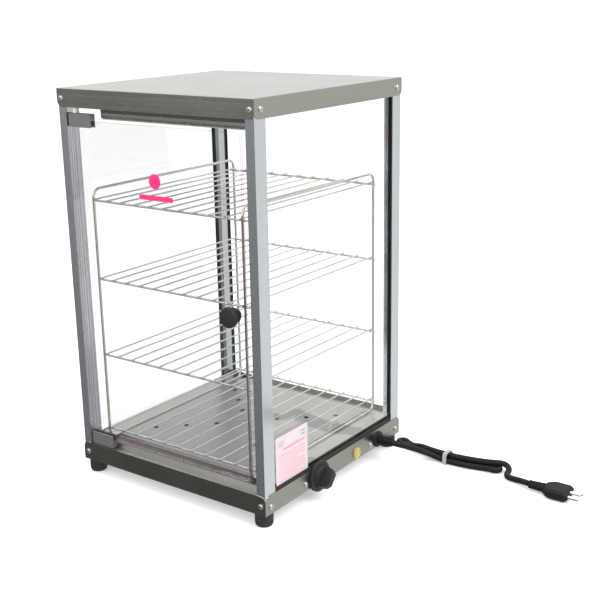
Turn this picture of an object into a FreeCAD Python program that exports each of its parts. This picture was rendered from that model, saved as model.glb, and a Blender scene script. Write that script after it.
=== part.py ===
# Countertop hot food display case: a square glass cabinet with four aluminium corner
# columns, a folded lid, a heated base, a welded wire rack with four shelves, a
# frameless glass door on two pivot clips, and a mains cord tied up as a hank.
#
# Frame: millimetres, +Z up, the door looks along -Y and the controls are on the +X
# side. The origin is on the counter, at the centre of the four feet.
import FreeCAD, Part
import math
import os

V = FreeCAD.Vector
os.makedirs("parts", exist_ok=True)

# ---------------------------------------------------------------- driving dimensions
WIDTH = 350.0             # across the base and the lid, square in plan
FOOT_H = 20.0             # rubber foot height
BASE_H = 28.0             # height of the base band
LID_H = 26.0              # height of the lid band
TOTAL_H = 580.0           # counter to the top of the lid
SHEET = 1.0               # folded sheet thickness
BAND_CORNER_R = 9.0       # rounded free corners of the bands

COL_FACE = 14.5           # column width seen from the front
COL_DEPTH = 22.5          # column width seen from the side
COL_WALL = 1.4
GLASS_T = 4.0             # fixed panes
GLASS_SET = 3.0           # outer face of a fixed pane, in from the band
GROOVE_W = 5.4            # glazing groove in a column
GROOVE_D = 7.0

DOOR_T = 5.0
DOOR_LEFT = -155.0
DOOR_RIGHT = 146.5
DOOR_BOTTOM = 60.6
DOOR_TOP = 535.5
DOOR_FRONT = -169.5       # front face of the door glass
DOOR_CORNER_R = 7.0
PIVOT_X = -147.0
PIVOT_Y = DOOR_FRONT + DOOR_T / 2.0
PIVOT_D = 5.0
RUN_GAP = 0.05            # radial running clearance of a pin or a shaft

PAN_TOP = 54.5            # floor of the cabinet
PLATE_TOP = 57.5          # perforated plate over the heater
PLATE_MID_Y = 5.0
HOLE_D = 8.0
HOLE_PITCH_X = 34.3
HOLE_PITCH_Y = 32.0

RACK_X = 136.0            # side frames, to each side of the middle
RACK_FRONT = -156.0
RACK_BACK = 159.0
RACK_TOP = 437.5
RACK_WIRE = 4.0
RAIL_D = 3.2
GRID_D = 2.4
GRID_PITCH = 27.0
SHELF_Z = [74.0, 190.5, 307.0, 423.5]

KNOB_X = 129.7            # door knob
KNOB_Z = 297.5
DIAL_Y = -51.5            # thermostat dial on the right side of the base
DIAL_Z = 33.3
LAMP_Y = 50.0             # pilot lamp
LAMP_Z = 30.5
GLAND_Y = 110.0           # cord gland
GLAND_Z = 31.5

CORD_D = 9.0
HANK_X0 = 170.0           # tied hank of cord lying on the counter, bowed towards the front
HANK_X1 = 360.0
HANK_BOW = (278.5, 383.2, 228.2)   # centre and radius of the bow
HANK_W = 18.6
HANK_H = 17.0
TIE_X = 274.0

HALF = WIDTH / 2.0
BASE_TOP = FOOT_H + BASE_H
LID_BOTTOM = TOTAL_H - LID_H
COL_OUT = HALF - SHEET            # outer faces of the columns
GLASS_OUT = HALF - GLASS_SET      # outer faces of the fixed panes
GLASS_IN = GLASS_OUT - GLASS_T
COL_BOTTOM = FOOT_H + 4.0
COL_TOP = TOTAL_H - 8.0
LINER_Z = LID_BOTTOM + 3.0


# ---------------------------------------------------------------- helpers
def box(x0, y0, z0, x1, y1, z1):
    """Block between two corners, given in any order."""
    low = V(min(x0, x1), min(y0, y1), min(z0, z1))
    size = V(abs(x1 - x0), abs(y1 - y0), abs(z1 - z0))
    return Part.makeBox(size.x, size.y, size.z, low)


def rod(start, end, diameter):
    """Cylinder from one point to another."""
    along = end - start
    return Part.makeCylinder(diameter / 2.0, along.Length, start, along)


def cone(start, end, d0, d1):
    """Truncated cone from one point to another."""
    along = end - start
    return Part.makeCone(d0 / 2.0, d1 / 2.0, along.Length, start, along)


def fuse(shapes):
    """One solid from touching or overlapping ones."""
    whole = shapes[0]
    if len(shapes) > 1:
        whole = shapes[0].multiFuse(shapes[1:])
    return whole.removeSplitter()


def group(shapes):
    """Separate identical pieces that share a node."""
    return Part.makeCompound(shapes)


def plate(points, low, high, axis="z"):
    """Straight-sided outline, extruded along one axis."""
    corners = []
    for a, b in points:
        if axis == "z":
            corners.append(V(a, b, low))
        elif axis == "y":
            corners.append(V(a, low, b))
        else:
            corners.append(V(low, a, b))
    step = {"z": V(0, 0, high - low), "y": V(0, high - low, 0), "x": V(high - low, 0, 0)}[axis]
    return Part.Face(Part.makePolygon(corners + corners[:1])).extrude(step)


def edges_along(shape, direction, keep):
    """Straight edges along a direction whose middle point passes the test."""
    found = []
    for edge in shape.Edges:
        if not isinstance(edge.Curve, Part.Line):
            continue
        if abs(abs(edge.tangentAt(edge.FirstParameter).dot(direction)) - 1.0) > 1e-6:
            continue
        middle = edge.valueAt((edge.FirstParameter + edge.LastParameter) / 2.0)
        if keep(middle):
            found.append(edge)
    return found


def bend_radius(points, i, share=0.45):
    """Radius of the arc at point i: as large as its two runs allow."""
    before = points[i] - points[i - 1]
    after = points[i + 1] - points[i]
    turn = before.getAngle(after)
    return share * min(before.Length, after.Length) / math.tan(turn / 2.0)


def path_wire(points, radius=None):
    """Straight runs joined by tangent arcs. A fixed radius suits a bent tube."""
    edges = []
    last = points[0]
    for i in range(1, len(points) - 1):
        here = points[i]
        to_last = (points[i - 1] - here).normalize()
        to_next = (points[i + 1] - here).normalize()
        turn = math.pi - to_last.getAngle(to_next)
        arc_r = radius if radius else bend_radius(points, i)
        cut = arc_r * math.tan(turn / 2.0)
        start = here + to_last * cut
        end = here + to_next * cut
        bisector = (to_last + to_next).normalize()
        centre = here + bisector * (arc_r / math.cos(turn / 2.0))
        middle = centre - bisector * arc_r
        if (start - last).Length > 1e-4:
            edges.append(Part.LineSegment(last, start).toShape())
        edges.append(Part.Arc(start, middle, end).toShape())
        last = end
    edges.append(Part.LineSegment(last, points[-1]).toShape())
    return Part.Wire(edges)


def tube(points, diameter, radius=None):
    """Round bar along a path of runs and arcs."""
    wire = path_wire(points, radius)
    start = wire.Edges[0].valueAt(wire.Edges[0].FirstParameter)
    heading = points[1] - points[0]
    section = Part.Wire(Part.makeCircle(diameter / 2.0, start, heading))
    return wire.makePipeShell([section], True, False)


def cord_tube(name, points):
    """Free cord: prints its bend radii and its volume against section times length."""
    shape = tube(points, CORD_D)
    radii = [bend_radius(points, i) for i in range(1, len(points) - 1)]
    length = path_wire(points).Length
    ratio = shape.Volume / (math.pi * CORD_D ** 2 / 4.0 * length)
    print(name, "length %.1f" % length, "volume ratio %.4f" % ratio)
    print("   radii", ["%.1f" % r for r in radii])
    return shape


def save(name, shape):
    """Writes one sub-part after checking that it is sound."""
    if not shape.isValid():
        print("NOT VALID", name)
    shape.exportStep("parts/" + name + ".step")


def pan_head(at, out, head_d=7.6, head_h=2.0, shank_d=3.0, shank=5.0):
    """Domed screw with a cross recess. It sits on the point and faces out."""
    head = Part.makeCylinder(head_d / 2.0, head_h, at, out)
    rim = [e for e in head.Edges if e.Closed and (e.CenterOfMass - at).dot(out) > head_h * 0.5]
    head = head.makeFillet(head_h * 0.55, rim)
    body = Part.makeCylinder(shank_d / 2.0, shank, at, out * -1.0)
    side = V(0, 0, 1) if abs(out.z) < 0.5 else V(1, 0, 0)
    across = out.cross(side)
    screw = head.fuse(body)
    for arm, wide in ((side, across), (across, side)):
        slot = Part.makeBox(head_d * 0.5, 1.1, 1.6)
        slot.translate(V(-head_d * 0.25, -0.55, 0))
        turn = FreeCAD.Placement(FreeCAD.Matrix(
            arm.x, wide.x, out.x, at.x + out.x * (head_h - 1.2),
            arm.y, wide.y, out.y, at.y + out.y * (head_h - 1.2),
            arm.z, wide.z, out.z, at.z + out.z * (head_h - 1.2),
            0, 0, 0, 1))
        slot.Placement = turn.multiply(slot.Placement)
        screw = screw.cut(slot)
    return screw.removeSplitter()


# ---------------------------------------------------------------- places of the fasteners
LID_SCREW_Z = LID_BOTTOM + 11.7
BASE_SCREW_Z = FOOT_H + 13.0
SCREWS = []
for side_x in (-1, 1):
    for side_y in (-1, 1):
        for height, along_x, along_y, drop in ((LID_SCREW_Z, 167.5, 162.0, 0.0),
                                               (BASE_SCREW_Z, 166.5, 163.0, 2.5)):
            SCREWS.append((V(side_x * along_x, side_y * HALF, height), V(0, side_y, 0)))
            SCREWS.append((V(side_x * HALF, side_y * along_y, height - drop), V(side_x, 0, 0)))
FEET = [("front_left", -1, -1), ("front_right", 1, -1), ("back_left", -1, 1), ("back_right", 1, 1)]
FOOT_IN = 14.0            # foot centre, in from the sides


def screw_holes(shape):
    """Takes the corner screws' shanks out of a sheet or a column."""
    for at, out in SCREWS:
        shape = shape.cut(Part.makeCylinder(1.5, 8.0, at + out, out * -1.0))
    return shape


# ---------------------------------------------------------------- base and lid bands
def band_wall(side, low, high, round_top):
    """One upright wall of a band, with rounded corners along its free edge."""
    rise = high - low
    r = BAND_CORNER_R
    k = r * (1.0 - math.sqrt(0.5))
    if round_top:
        straight = V(-HALF, 0, low), V(HALF, 0, low), V(HALF, 0, high - r)
        arc_a = V(HALF, 0, high - r), V(HALF - k, 0, high - k), V(HALF - r, 0, high)
        arc_b = V(-HALF + r, 0, high), V(-HALF + k, 0, high - k), V(-HALF, 0, high - r)
    else:
        straight = V(-HALF, 0, high), V(HALF, 0, high), V(HALF, 0, low + r)
        arc_a = V(HALF, 0, low + r), V(HALF - k, 0, low + k), V(HALF - r, 0, low)
        arc_b = V(-HALF + r, 0, low), V(-HALF + k, 0, low + k), V(-HALF, 0, low + r)
    edges = [
        Part.LineSegment(straight[0], straight[1]).toShape(),
        Part.LineSegment(straight[1], straight[2]).toShape(),
        Part.Arc(*arc_a).toShape(),
        Part.LineSegment(arc_a[2], arc_b[0]).toShape(),
        Part.Arc(*arc_b).toShape(),
        Part.LineSegment(arc_b[2], straight[0]).toShape(),
    ]
    wall = Part.Face(Part.Wire(edges)).extrude(V(0, SHEET, 0))
    wall.translate(V(0, -HALF, 0))
    wall.rotate(V(0, 0, 0), V(0, 0, 1), 90.0 * side)
    return wall


def column_room(low, high, slack=0.0):
    """Space that the four columns take up, to cut out of flanges."""
    room = []
    for sx in (-1, 1):
        for sy in (-1, 1):
            room.append(box(sx * (HALF + 1), sy * (HALF + 1), low,
                            sx * (COL_OUT - COL_FACE - slack), sy * (COL_OUT - COL_DEPTH - slack), high))
    return room


def base_housing():
    """Folded band with an inward flange along its top edge."""
    walls = [band_wall(side, FOOT_H, BASE_TOP, True) for side in range(4)]
    flange = box(-COL_OUT, -COL_OUT, BASE_TOP - SHEET, COL_OUT, COL_OUT, BASE_TOP)
    flange = flange.cut(box(-164.0, -150.0, BASE_TOP - 3, 164.0, 164.0, BASE_TOP + 3))
    for room in column_room(BASE_TOP - 3, BASE_TOP + 3):
        flange = flange.cut(room)
    body = fuse(walls + [flange])
    body = screw_holes(body)
    body = body.cut(rod(V(PIVOT_X, PIVOT_Y, 40), V(PIVOT_X, PIVOT_Y, 60), 8.5))
    body = body.cut(rod(V(160, DIAL_Y, DIAL_Z), V(180, DIAL_Y, DIAL_Z), 8.0))
    body = body.cut(rod(V(160, LAMP_Y, LAMP_Z), V(180, LAMP_Y, LAMP_Z), 14.0))
    body = body.cut(rod(V(160, GLAND_Y, GLAND_Z), V(180, GLAND_Y, GLAND_Z), 14.0))
    for y, z in PANEL_SCREWS:
        body = body.cut(rod(V(160, y, z), V(180, y, z), 3.0))
    return body


def base_bottom_cover():
    """Flat plate inside the band, with vent slots and foot holes."""
    edge = COL_OUT - 0.2
    cover = box(-edge, -edge, FOOT_H, edge, edge, FOOT_H + SHEET)
    for column in range(-4, 5):
        for row in (-1, 1):
            slot = box(-2.5, -30, FOOT_H - 2, 2.5, 30, FOOT_H + 3)
            slot = slot.makeFillet(2.4, edges_along(slot, V(0, 0, 1), lambda m: True))
            slot.translate(V(column * 18.0, row * 62.0, 0))
            cover = cover.cut(slot)
    for _, sx, sy in FEET:
        at = V(sx * (HALF - FOOT_IN), sy * (HALF - FOOT_IN), FOOT_H - 2)
        cover = cover.cut(Part.makeCylinder(2.0, 6.0, at))
    return cover


def lid_housing():
    """Shallow folded cap: top sheet, band with rounded corners and small hems."""
    walls = [band_wall(side, LID_BOTTOM, TOTAL_H, False) for side in range(4)]
    top = box(-HALF, -HALF, TOTAL_H - SHEET, HALF, HALF, TOTAL_H)
    hem_low = LID_BOTTOM
    hems = []
    for side in range(4):
        hem = box(-HALF + 24, -HALF + SHEET, hem_low, HALF - 24, -HALF + 2.2, hem_low + SHEET)
        hem.rotate(V(0, 0, 0), V(0, 0, 1), 90.0 * side)
        hems.append(hem)
    lid = fuse(walls + [top] + hems)
    rim = edges_along(lid, V(1, 0, 0), lambda m: m.z > TOTAL_H - 0.1 and abs(m.y) > HALF - 0.1)
    rim += edges_along(lid, V(0, 1, 0), lambda m: m.z > TOTAL_H - 0.1 and abs(m.x) > HALF - 0.1)
    lid = lid.makeFillet(0.8, rim)
    return screw_holes(lid)


def ceiling_liner():
    """Tray that closes the lid from below and carries the top hinge bush."""
    edge = 166.0
    liner = box(-edge, -edge, LINER_Z, edge, edge, LINER_Z + SHEET)
    rims = box(-edge, -edge, LINER_Z, edge, edge, LINER_Z + 14)
    rims = rims.cut(box(-edge + SHEET, -edge + SHEET, LINER_Z - 1, edge - SHEET, edge - SHEET, LINER_Z + 15))
    liner = fuse([liner, rims])
    front = box(-158.0, -172.5, LINER_Z, 158.0, -edge, LINER_Z + SHEET)
    liner = fuse([liner, front])
    for room in column_room(LINER_Z - 3, LINER_Z + 20, 0.3):
        liner = liner.cut(room)
    return liner.cut(rod(V(PIVOT_X, PIVOT_Y, LINER_Z - 3), V(PIVOT_X, PIVOT_Y, LINER_Z + 6), 5.1))


# ---------------------------------------------------------------- columns
def column(sx, sy):
    """Extruded hollow corner section with glazing grooves, front at sy = -1."""
    def block(u0, v0, u1, v1):
        return box(sx * (COL_OUT - u0), sy * (COL_OUT - v0), COL_BOTTOM,
                   sx * (COL_OUT - u1), sy * (COL_OUT - v1), COL_TOP)

    w = COL_WALL
    g0 = GLASS_SET - SHEET - (GROOVE_W - GLASS_T) / 2.0
    g1 = g0 + GROOVE_W
    body = block(0, 0, COL_FACE, COL_DEPTH)
    corner = edges_along(body, V(0, 0, 1),
                         lambda m: abs(m.x) > COL_OUT - 0.1 and abs(m.y) > COL_OUT - 0.1)
    body = body.makeFillet(1.2, corner)
    body = body.cut(block(g0, COL_DEPTH - GROOVE_D, g1, COL_DEPTH + 1))
    inner_v = COL_DEPTH - GROOVE_D - w
    if sy < 0:
        body = body.cut(block(w, w, COL_FACE - w, inner_v))
    else:
        body = body.cut(block(COL_FACE - GROOVE_D, g0, COL_FACE + 1, g1))
        body = body.cut(block(w, g1 + w, COL_FACE - w, inner_v))
        body = body.cut(block(w, w, COL_FACE - GROOVE_D - w, g1))
    body = body.cut(block(g1 + w, inner_v + w, COL_FACE - w, COL_DEPTH - w))
    return screw_holes(body)


# ---------------------------------------------------------------- fixed glass and seals
SEAL_LOW = BASE_TOP
SIDE_SEAL_TOP = 53.0
BACK_SEAL_TOP = 59.0
PANE_LOW = BASE_TOP + 1.5
PANE_TOP = LINER_Z - 0.6
PANE_END = COL_OUT - COL_DEPTH + GROOVE_D - 1.0     # side pane ends, in the grooves
BACK_END = COL_OUT - COL_FACE + GROOVE_D - 1.0


def side_glass(sx):
    return box(sx * GLASS_IN, -PANE_END, PANE_LOW, sx * GLASS_OUT, PANE_END, PANE_TOP)


def back_glass():
    return box(-BACK_END, GLASS_IN, PANE_LOW, BACK_END, GLASS_OUT, PANE_TOP)


def side_seal(sx):
    """Rubber channel under a side pane, between the columns."""
    end = COL_OUT - COL_DEPTH - 0.1
    seal = box(sx * (GLASS_IN - 1.2), -end, SEAL_LOW, sx * (GLASS_OUT + 1.4), end, SIDE_SEAL_TOP)
    return seal.cut(box(sx * GLASS_IN, -end - 1, PANE_LOW, sx * GLASS_OUT, end + 1, PANE_TOP))


def back_seal():
    end = COL_OUT - COL_FACE - 0.1
    seal = box(-end, GLASS_IN - 1.2, SEAL_LOW, end, GLASS_OUT + 1.4, BACK_SEAL_TOP)
    return seal.cut(box(-end - 1, GLASS_IN, PANE_LOW, end + 1, GLASS_OUT, PANE_TOP))


def glass_edge_seals():
    """Thin upright wedges that hold the panes in the column grooves, inside and out."""
    thin = (GROOVE_W - GLASS_T) / 2.0
    proud = 1.4
    low = BACK_SEAL_TOP + 0.2
    high = PANE_TOP
    pieces = []
    for sx in (-1, 1):
        for sy in (-1, 1):
            y0 = sy * PANE_END
            y1 = sy * (COL_OUT - COL_DEPTH - proud)
            pieces.append(box(sx * GLASS_OUT, y0, low, sx * (GLASS_OUT + thin), y1, high))
            pieces.append(box(sx * GLASS_IN, y0, low, sx * (GLASS_IN - thin), y1, high))
        x0 = sx * BACK_END
        x1 = sx * (COL_OUT - COL_FACE - proud)
        pieces.append(box(x0, GLASS_OUT, low, x1, GLASS_OUT + thin, high))
        pieces.append(box(x0, GLASS_IN, low, x1, GLASS_IN - thin, high))
    return group(pieces)


# ---------------------------------------------------------------- cabinet floor
PAN_X = GLASS_IN - 1.6
PAN_FRONT = -161.0
PAN_BACK = GLASS_IN - 1.6
HEAT_SLOT = 46.0          # slots in the pan under the perforated plate
HEAT_SLOT_PITCH = 56.0
HEAT_Y0 = -118.0
HEAT_Y1 = 128.0
PLATE_X = 131.0
PLATE_Y0 = PLATE_MID_Y - 143.0
PLATE_Y1 = PLATE_MID_Y + 143.0
PLATE_SCREWS = [(sx * 124.0, PLATE_MID_Y + sy * 136.0) for sx in (-1, 1) for sy in (-1, 1)]


def floor_pan():
    """Pressed floor with skirts that stand on the base flange."""
    pan = box(-PAN_X, PAN_FRONT, BASE_TOP, PAN_X, PAN_BACK, PAN_TOP)
    for room in column_room(BASE_TOP - 1, PAN_TOP + 1, 0.4):
        pan = pan.cut(room)
    pan = pan.cut(box(-PAN_X - 1, PAN_FRONT - 1, BASE_TOP - 1, -131.0, -152.3, PAN_TOP + 1))
    inner = box(-PAN_X + SHEET, PAN_FRONT + SHEET, BASE_TOP - 1, PAN_X - SHEET, PAN_BACK - SHEET,
                PAN_TOP - SHEET)
    for room in column_room(BASE_TOP - 2, PAN_TOP + 1, 0.4 + SHEET):
        inner = inner.cut(room)
    inner = inner.cut(box(-PAN_X - 1, PAN_FRONT - 1, BASE_TOP - 2, -131.0 + SHEET, -152.3 + SHEET,
                          PAN_TOP + 1))
    pan = pan.cut(inner)
    for slot in (-1.5, -0.5, 0.5, 1.5):
        x = slot * HEAT_SLOT_PITCH
        pan = pan.cut(box(x - HEAT_SLOT / 2.0, HEAT_Y0, PAN_TOP - 3,
                          x + HEAT_SLOT / 2.0, HEAT_Y1, PAN_TOP + 3))
    for x, y in PLATE_SCREWS:
        pan = pan.cut(rod(V(x, y, PAN_TOP - 3), V(x, y, PAN_TOP + 3), 3.0))
    return pan


def perforated_plate():
    """Raised plate over the heater, with two crossing rows of holes."""
    shell = box(-PLATE_X, PLATE_Y0, PAN_TOP, PLATE_X, PLATE_Y1, PLATE_TOP)
    top = edges_along(shell, V(1, 0, 0), lambda m: m.z > PLATE_TOP - 0.1)
    top += edges_along(shell, V(0, 1, 0), lambda m: m.z > PLATE_TOP - 0.1)
    shell = shell.makeFillet(1.0, top)
    shell = shell.cut(box(-PLATE_X + SHEET, PLATE_Y0 + SHEET, PAN_TOP - 1,
                          PLATE_X - SHEET, PLATE_Y1 - SHEET, PLATE_TOP - SHEET))
    for step in range(-3, 4):
        for slant in (-1, 1):
            if step == 0 and slant == 1:
                continue
            x = step * HOLE_PITCH_X
            y = PLATE_MID_Y + slant * step * HOLE_PITCH_Y
            shell = shell.cut(rod(V(x, y, PAN_TOP), V(x, y, PLATE_TOP + 1), HOLE_D))
    for x, y in PLATE_SCREWS:
        shell = shell.cut(rod(V(x, y, PAN_TOP), V(x, y, PLATE_TOP + 1), 3.0))
    return shell


# ---------------------------------------------------------------- wire rack
def rack_side_frame(sx):
    """Closed loop of round bar with bent corners, standing on the floor pan."""
    x = sx * RACK_X
    low = PAN_TOP + RACK_WIRE / 2.0
    middle = (RACK_FRONT + RACK_BACK) / 2.0
    points = [V(x, middle, low), V(x, RACK_FRONT, low), V(x, RACK_FRONT, RACK_TOP),
              V(x, RACK_BACK, RACK_TOP), V(x, RACK_BACK, low), V(x, middle, low)]
    return tube(points, RACK_WIRE, 12.0)


def rack_shelf(height):
    """Grid of thin wires welded onto a front and a back rail."""
    weld = 0.3
    rail_z = height - (GRID_D + RAIL_D) / 2.0 + weld
    rail_in = (RACK_WIRE + RAIL_D) / 2.0 - 0.1
    reach = RACK_X + 5.5
    bars = []
    for y in (RACK_FRONT + rail_in, RACK_BACK - rail_in):
        bars.append(rod(V(-reach, y, rail_z), V(reach, y, rail_z), RAIL_D))
    edge_wire = RACK_X - (RACK_WIRE + GRID_D) / 2.0 + 0.1
    places = [-edge_wire] + [GRID_PITCH * i for i in range(-4, 5)] + [edge_wire]
    for x in places:
        bars.append(rod(V(x, RACK_FRONT - 1.5, height), V(x, RACK_BACK + 1.5, height), GRID_D))
    return bars[0].multiFuse(bars[1:])


# ---------------------------------------------------------------- top rail behind the door
def front_top_rail():
    """Folded strip under the lid with a rolled lower edge, behind the door's top."""
    x0, x1 = -109.0, COL_OUT - COL_FACE - 0.4
    y_face = -157.0
    nose_z = 542.5
    nose_r = 5.5
    t = 1.2
    flat = box(x0, y_face, nose_z, x1, y_face + t, LINER_Z)
    flange = box(x0, y_face, LINER_Z - t, x1, y_face + 14, LINER_Z)
    centre = V(0, y_face + nose_r, nose_z)
    nose = rod(V(x0, centre.y, nose_z), V(x1, centre.y, nose_z), nose_r * 2)
    nose = nose.cut(rod(V(x0 - 1, centre.y, nose_z), V(x1 + 1, centre.y, nose_z), nose_r * 2 - 2 * t))
    nose = nose.cut(box(x0 - 1, y_face - 1, nose_z, x1 + 1, y_face + 20, nose_z + 10))
    return fuse([flat, flange, nose])


# ---------------------------------------------------------------- door
CLIP_LEFT = -157.5
CLIP_RIGHT = -116.0
CLIP_HALF_T = 5.5
TOP_CLIP = (527.0, 545.5)
BOTTOM_CLIP = (48.6, 67.2)
CLIP_SCREW_X = (-138.0, -124.0)
CLIP_SCREW_Z = (sum(BOTTOM_CLIP) / 2.0 + 6.1, sum(TOP_CLIP) / 2.0 - 4.0)
UPPER_PIN = (DOOR_TOP + 1.0, LINER_Z + 4.0)
LOWER_PIN = (BASE_TOP - 8.0, DOOR_BOTTOM - 0.2)


def door_glass():
    pane = box(DOOR_LEFT, DOOR_FRONT, DOOR_BOTTOM, DOOR_RIGHT, DOOR_FRONT + DOOR_T, DOOR_TOP)
    corners = edges_along(pane, V(0, 1, 0), lambda m: m.x > DOOR_RIGHT - 0.1)
    pane = pane.makeFillet(DOOR_CORNER_R, corners)
    return pane.cut(rod(V(KNOB_X, DOOR_FRONT - 2, KNOB_Z), V(KNOB_X, -150, KNOB_Z), 6.0))


def door_clip(low, high, glass_low, glass_high, pin_low, pin_high):
    """Grooved clip that grips the corner of the glass, drilled for its pin."""
    clip = box(CLIP_LEFT, PIVOT_Y - CLIP_HALF_T, low, CLIP_RIGHT, PIVOT_Y + CLIP_HALF_T, high)
    clip = clip.makeFillet(0.8, edges_along(clip, V(0, 0, 1), lambda m: True))
    clip = clip.cut(box(DOOR_LEFT, DOOR_FRONT, glass_low, CLIP_RIGHT + 1, DOOR_FRONT + DOOR_T, glass_high))
    for x in CLIP_SCREW_X:
        z = CLIP_SCREW_Z[0] if low < 100 else CLIP_SCREW_Z[1]
        clip = clip.cut(rod(V(x, DOOR_FRONT + DOOR_T, z), V(x, -150, z), 4.0))
    return clip.cut(rod(V(PIVOT_X, PIVOT_Y, pin_low), V(PIVOT_X, PIVOT_Y, pin_high), PIVOT_D))


def door_pivot_pins():
    """Upper and lower steel pins, fixed in the clips."""
    pins = [rod(V(PIVOT_X, PIVOT_Y, low), V(PIVOT_X, PIVOT_Y, high), PIVOT_D)
            for low, high in (UPPER_PIN, LOWER_PIN)]
    return group(pins)


def hinge_bushes():
    """Plastic bushes: one hangs under the lid, one sits in the base flange."""
    bore = PIVOT_D + 2 * RUN_GAP
    upper = rod(V(PIVOT_X, PIVOT_Y, TOP_CLIP[1] + 0.4), V(PIVOT_X, PIVOT_Y, LINER_Z), 8.5)
    upper = upper.cut(rod(V(PIVOT_X, PIVOT_Y, TOP_CLIP[1]), V(PIVOT_X, PIVOT_Y, LINER_Z + 1), bore))
    lower = rod(V(PIVOT_X, PIVOT_Y, BASE_TOP - 7.0), V(PIVOT_X, PIVOT_Y, BASE_TOP + 0.4), 8.5)
    lower = lower.cut(rod(V(PIVOT_X, PIVOT_Y, BASE_TOP - 9.0), V(PIVOT_X, PIVOT_Y, BASE_TOP + 1), bore))
    return group([upper, lower])


def clip_set_screws():
    """Socket set screws on the inner face of each clip."""
    pieces = []
    for z in CLIP_SCREW_Z:
        for x in CLIP_SCREW_X:
            back = PIVOT_Y + CLIP_HALF_T - 0.2
            screw = rod(V(x, DOOR_FRONT + DOOR_T, z), V(x, back, z), 4.0)
            socket = rod(V(x, back - 1.4, z), V(x, back + 1, z), 2.0)
            pieces.append(screw.cut(socket))
    return group(pieces)


def door_knob():
    """Round knob turned about Y, with a waist against the glass."""
    f = DOOR_FRONT
    outline = [(0, f), (10.0, f), (10.0, f - 1.5), (7.5, f - 3.0), (7.5, f - 6.0), (12.5, f - 9.5),
               (14.0, f - 11.5), (14.0, f - 16.0), (12.8, f - 17.6), (9.0, f - 18.0), (0, f - 18.0)]
    points = [V(r, y, 0) for r, y in outline]
    knob = Part.Face(Part.makePolygon(points + points[:1])).revolve(V(0, 0, 0), V(0, 1, 0), 360)
    knob.translate(V(KNOB_X, 0, KNOB_Z))
    return knob.cut(rod(V(KNOB_X, f + 1, KNOB_Z), V(KNOB_X, f - 10, KNOB_Z), 4.0))


def door_knob_fixing():
    """Washer and screw through the glass from inside."""
    back = DOOR_FRONT + DOOR_T
    screw = pan_head(V(KNOB_X, back + 1.2, KNOB_Z), V(0, 1, 0), 8.0, 2.2, 4.0, DOOR_T + 1.2 + 9.0)
    washer = rod(V(KNOB_X, back, KNOB_Z), V(KNOB_X, back + 1.2, KNOB_Z), 12.0)
    return fuse([screw, washer])


# ---------------------------------------------------------------- controls on the right side
PANEL_SCREWS = [(DIAL_Y - 30.0, 31.0), (GLAND_Y - 20.0, 28.5)]
DIAL_GAP = 0.5


def thermostat_knob():
    """Dial with a tapered grip bar across it, turned about X."""
    x0 = HALF + DIAL_GAP
    skirt = rod(V(x0, DIAL_Y, DIAL_Z), V(x0 + 5.0, DIAL_Y, DIAL_Z), 46.0)
    rim = [e for e in skirt.Edges if e.Closed and e.CenterOfMass.x > x0 + 4.0]
    skirt = skirt.makeFillet(1.6, rim)
    hub = cone(V(x0 + 4.5, DIAL_Y, DIAL_Z), V(x0 + 10.0, DIAL_Y, DIAL_Z), 34.0, 30.0)
    grip = plate([(x0 + 5.0, -17.0), (x0 + 5.0, 17.0), (x0 + 20.0, 14.0), (x0 + 24.5, 9.0),
                  (x0 + 24.5, -9.0), (x0 + 20.0, -14.0)], -5.0, 5.0, "y")
    grip = grip.makeFillet(1.5, edges_along(grip, V(0, 1, 0), lambda m: m.x > x0 + 10))
    grip.translate(V(0, DIAL_Y, DIAL_Z))
    grip.rotate(V(0, DIAL_Y, DIAL_Z), V(1, 0, 0), -40.0)
    knob = fuse([skirt, hub, grip])
    return knob.cut(rod(V(x0 - 1, DIAL_Y, DIAL_Z), V(x0 + 12, DIAL_Y, DIAL_Z), 6.0))


def thermostat_shaft():
    x0 = HALF + DIAL_GAP
    return rod(V(158.0, DIAL_Y, DIAL_Z), V(x0 + 12, DIAL_Y, DIAL_Z), 6.0)


def thermostat_body():
    """Capillary thermostat behind the panel, with its four blade terminals."""
    body = box(150.0, DIAL_Y - 17, 23.0, 171.0, DIAL_Y + 17, 45.0)
    body = body.makeFillet(2.0, edges_along(body, V(1, 0, 0), lambda m: True))
    neck = rod(V(171.0, DIAL_Y, DIAL_Z), V(HALF - SHEET, DIAL_Y, DIAL_Z), 14.0)
    blades = []
    for side in (-1, 1):
        for z in (29.0, 39.0):
            blades.append(box(142.0, DIAL_Y + side * 10 - 3.2, z - 0.4, 150.5, DIAL_Y + side * 10 + 3.2, z + 0.4))
    whole = fuse([body, neck] + blades)
    return whole.cut(rod(V(157.8, DIAL_Y, DIAL_Z), V(180, DIAL_Y, DIAL_Z), 6.0 + 2 * RUN_GAP))


def pilot_lamp():
    """Amber dome lens with a flange on the panel."""
    lens = rod(V(HALF, LAMP_Y, LAMP_Z), V(HALF + 2.0, LAMP_Y, LAMP_Z), 17.5)
    dome = Part.makeSphere(11.0, V(HALF - 5.5, LAMP_Y, LAMP_Z))
    dome = dome.common(rod(V(HALF, LAMP_Y, LAMP_Z), V(HALF + 8.0, LAMP_Y, LAMP_Z), 15.0))
    return fuse([lens, dome])


def pilot_lamp_body():
    body = rod(V(150.0, LAMP_Y, LAMP_Z), V(HALF, LAMP_Y, LAMP_Z), 14.0)
    nut = rod(V(HALF - 5.0, LAMP_Y, LAMP_Z), V(HALF - SHEET, LAMP_Y, LAMP_Z), 18.5)
    pins = [box(143.0, LAMP_Y + s * 4 - 1.4, LAMP_Z - 0.4, 150.5, LAMP_Y + s * 4 + 1.4, LAMP_Z + 0.4)
            for s in (-1, 1)]
    return fuse([body, nut] + pins)


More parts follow.
